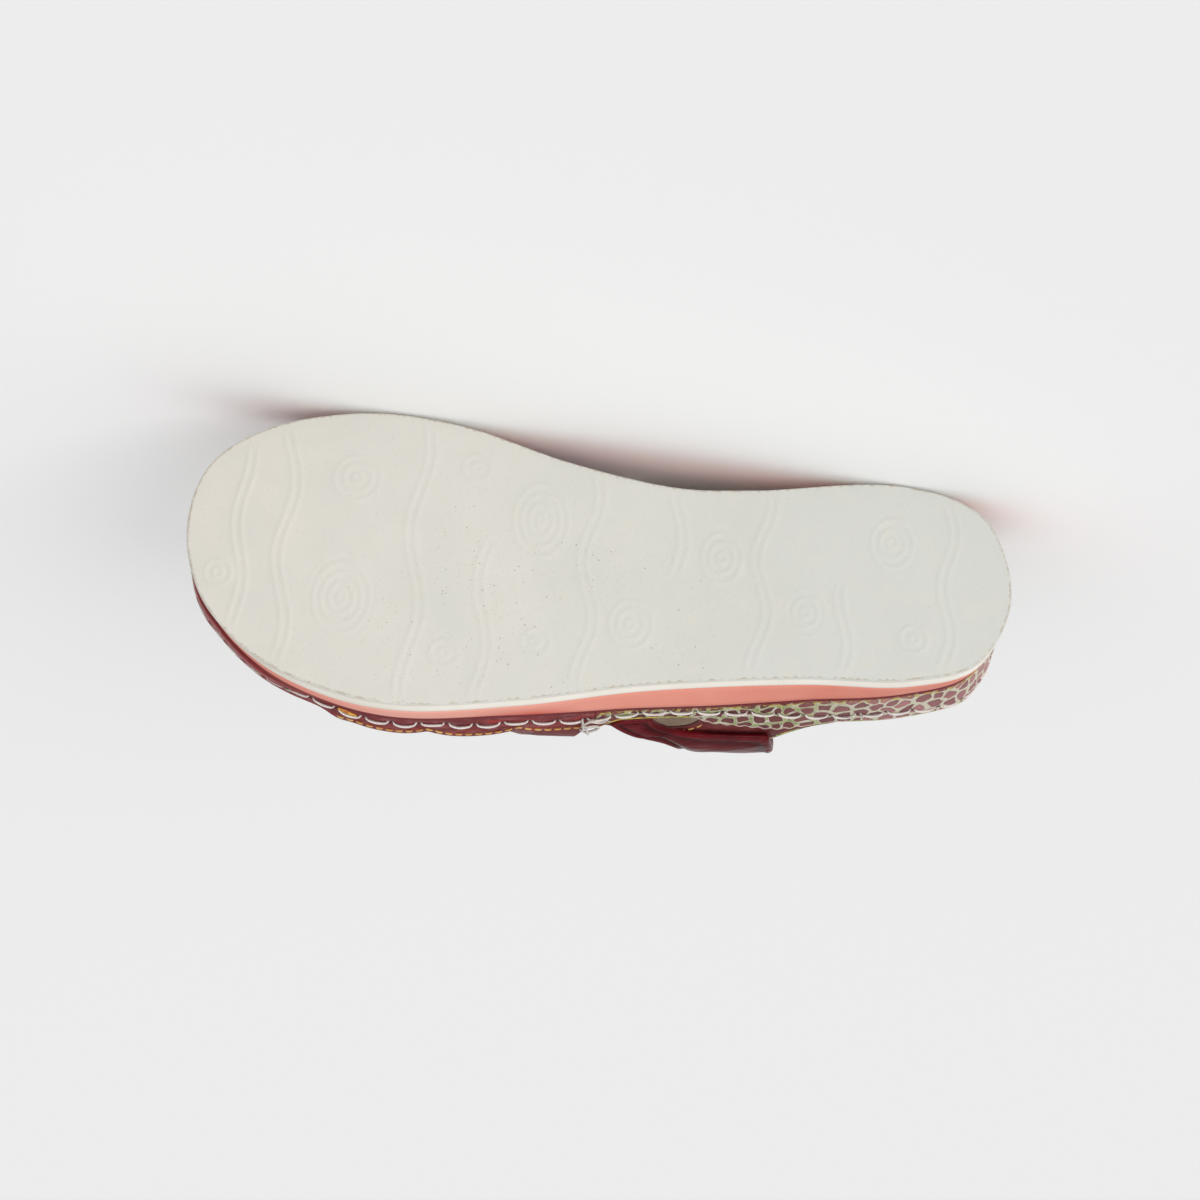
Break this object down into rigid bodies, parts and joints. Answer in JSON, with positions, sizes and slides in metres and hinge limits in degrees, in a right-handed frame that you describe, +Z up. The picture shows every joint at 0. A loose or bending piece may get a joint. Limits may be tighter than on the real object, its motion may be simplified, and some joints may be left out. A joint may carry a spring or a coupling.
{
  "type": "slide sandal",
  "caption": "Open-toed slide sandal for the right foot with a wedge foam sole, scalloped leather rim bands, a closed vamp and a patent strap over the instep, lying on its side.",
  "frame": {"origin": "on the floor under the middle of the shoe's bounding box as it lies", "axes": "+X from heel to toe, +Y away from the tread towards the top of the foot, +Z up from the floor, out of the shoe's outer (little toe) side"},
  "size_m": [0.2578, 0.1034, 0.096],
  "materials": {
    "outsole": "matt cream rubber",
    "midsole": "matt coral foam rubber",
    "footbed": "matt pale grey-beige leather",
    "rim_front": "semi-gloss maroon leather",
    "rim_rear": "printed scale-grain leather",
    "upper": "smooth maroon leather",
    "instep_strap": "dark red patent leather"
  },
  "bodies": {
    "root": {"outsole": "outsole", "midsole": "midsole", "footbed": "footbed", "rim_front": "rim_front", "rim_rear": "rim_rear", "upper": "upper", "instep_strap": "instep_strap"}
  },
  "joints": []
}
